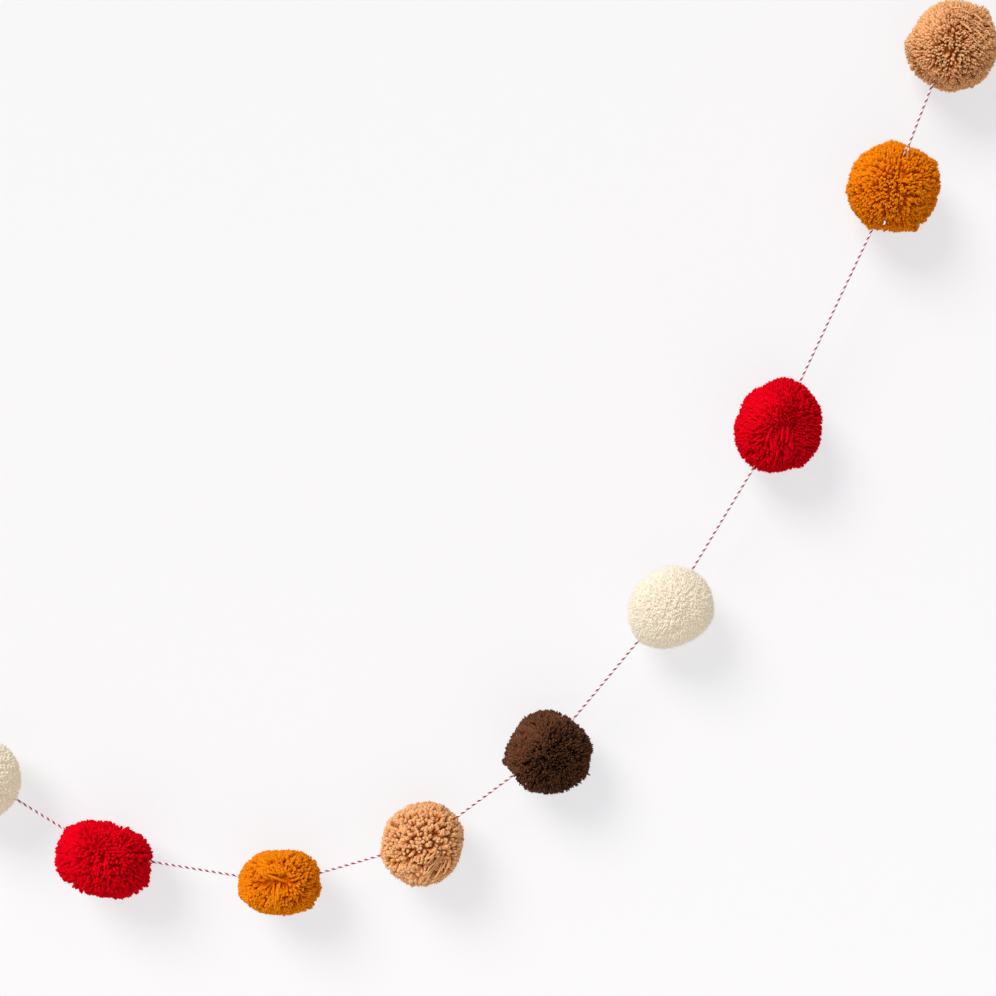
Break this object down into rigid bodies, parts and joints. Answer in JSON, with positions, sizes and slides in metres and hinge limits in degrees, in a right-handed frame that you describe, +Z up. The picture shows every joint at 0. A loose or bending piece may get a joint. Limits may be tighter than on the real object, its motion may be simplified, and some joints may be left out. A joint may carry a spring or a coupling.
{
  "type": "pom-pom garland",
  "caption": "Fluffy yarn pompoms in tan, mustard, red, cream and brown threaded on two-coloured baker's twine, hanging in a curve from a knotted loop at each end.",
  "frame": {"origin": "the hanging point on the inside of the right-hand loop, where a nail or hook bears", "axes": "+Z up, +X to the right along the garland, +Y towards the wall behind it"},
  "size_m": [0.6528, 0.0538, 0.5887],
  "materials": {
    "yarn_tan": "fluffy cut yarn",
    "yarn_mustard": "fluffy cut yarn",
    "yarn_red": "fluffy cut yarn",
    "yarn_cream": "fluffy cut yarn",
    "yarn_brown": "fluffy cut yarn",
    "twine": "twisted cotton, white and dark red"
  },
  "bodies": {
    "root": {"pompom_1_tan": "yarn_tan", "pompom_2_mustard": "yarn_mustard", "pompom_3_red": "yarn_red", "pompom_4_cream": "yarn_cream", "pompom_5_brown": "yarn_brown", "pompom_6_tan": "yarn_tan", "pompom_7_mustard": "yarn_mustard", "pompom_8_red": "yarn_red", "pompom_9_cream": "yarn_cream", "twine": "twine"}
  },
  "joints": []
}
